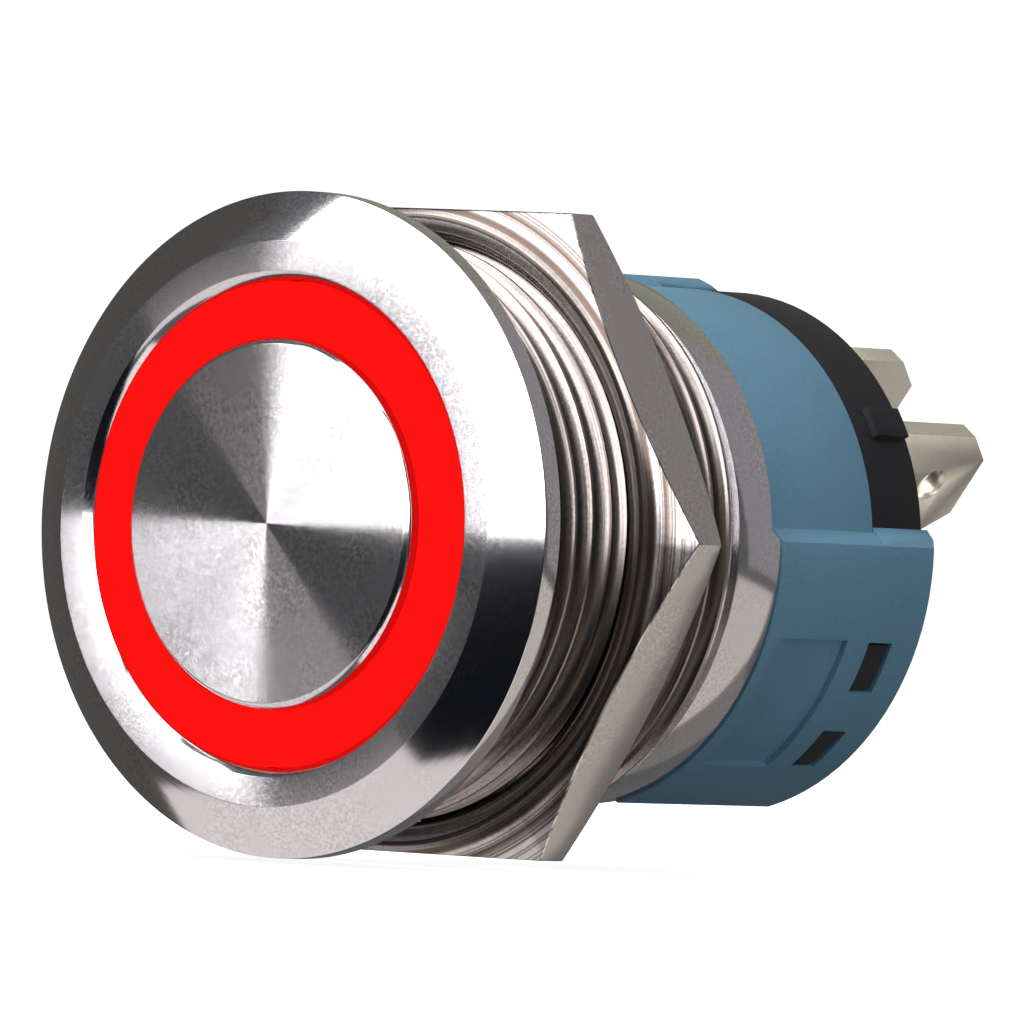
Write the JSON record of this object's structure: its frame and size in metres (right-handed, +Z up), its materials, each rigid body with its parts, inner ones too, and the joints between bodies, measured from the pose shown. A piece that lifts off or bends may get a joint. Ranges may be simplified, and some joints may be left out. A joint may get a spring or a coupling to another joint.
{
  "type": "industrial push button",
  "caption": "Panel-mounted metal push button with a red ring-lit sprung button, threaded barrel, hex nut, keyed plastic rear housing and blade terminals.",
  "frame": {"origin": "centre of the flange's seating plane, where the panel's front face lies", "axes": "+Y along the barrel away from the button, towards the terminals; +X right and +Z up as seen from the front of the panel"},
  "size_m": [0.028, 0.035, 0.025],
  "materials": {
    "stainless": "turned stainless steel, fine machining marks",
    "stainless_cap": "stainless steel, faced on a lathe so that its marks run in circles",
    "plated_steel": "nickel-plated brass nut, satin, turned chamfers",
    "halo": "translucent polycarbonate, lit red from behind",
    "black_rubber": "nitrile rubber, matt",
    "spring_steel": "spring steel, bright",
    "white_plastic": "natural acetal",
    "board": "green solder mask",
    "led_lens": "red chip LED lens",
    "chip": "chip resistor",
    "copper_pin": "tinned copper pin",
    "blue_plastic": "light steel-blue moulded plastic, fine spark grain",
    "black_plastic": "black glass-filled moulded plastic",
    "tinned_brass": "tinned brass strip, cream-silver",
    "silver": "silver contact rivet",
    "copper_strip": "beryllium copper strip"
  },
  "bodies": {
    "housing": {"bezel_barrel": "stainless", "flange_gasket": "black_rubber", "return_spring": "spring_steel", "plunger_guide": "white_plastic", "circlip": "spring_steel", "led_board": "board", "leds": "led_lens", "resistors": "chip", "lamp_pins": "copper_pin", "rear_housing": "blue_plastic", "terminal_base": "black_plastic", "terminal_common": "tinned_brass", "terminal_no": "tinned_brass", "terminal_nc": "tinned_brass", "terminal_lamp_pos": "tinned_brass", "terminal_lamp_neg": "tinned_brass", "fixed_contacts": "silver", "pivot_pin": "spring_steel", "contact_spring": "spring_steel"},
    "button": {"button_cap": "stainless_cap", "halo_ring": "halo", "actuator_seal": "black_rubber", "cap_clip": "spring_steel", "plunger": "white_plastic"},
    "lever": {"contact_lever": "copper_strip", "moving_contact": "silver"},
    "nut": {"hex_nut": "plated_steel"}
  },
  "joints": [
    {"name": "button_press", "type": "slide", "parent": "housing", "child": "button", "axis": [0, 1, 0], "range_m": [0, 0.0022], "stiffness_N_per_m": 700, "springref_m": -0.004, "deforming": ["return_spring"]},
    {"name": "lever_swing", "type": "hinge", "parent": "housing", "child": "lever", "pos_m": [0.00369, 0.0143, 0.00498], "axis": [0.8039, 0, -0.5948], "range_deg": [0, 19.54], "deforming": ["contact_spring"]},
    {"name": "nut_travel", "type": "slide", "parent": "housing", "child": "nut", "axis": [0, 1, 0], "range_m": [-0.005, 0.004]}
  ],
  "couplings": [
    {"joint": "lever_swing", "follows": "button_press", "rad_per_m": 154.99}
  ]
}
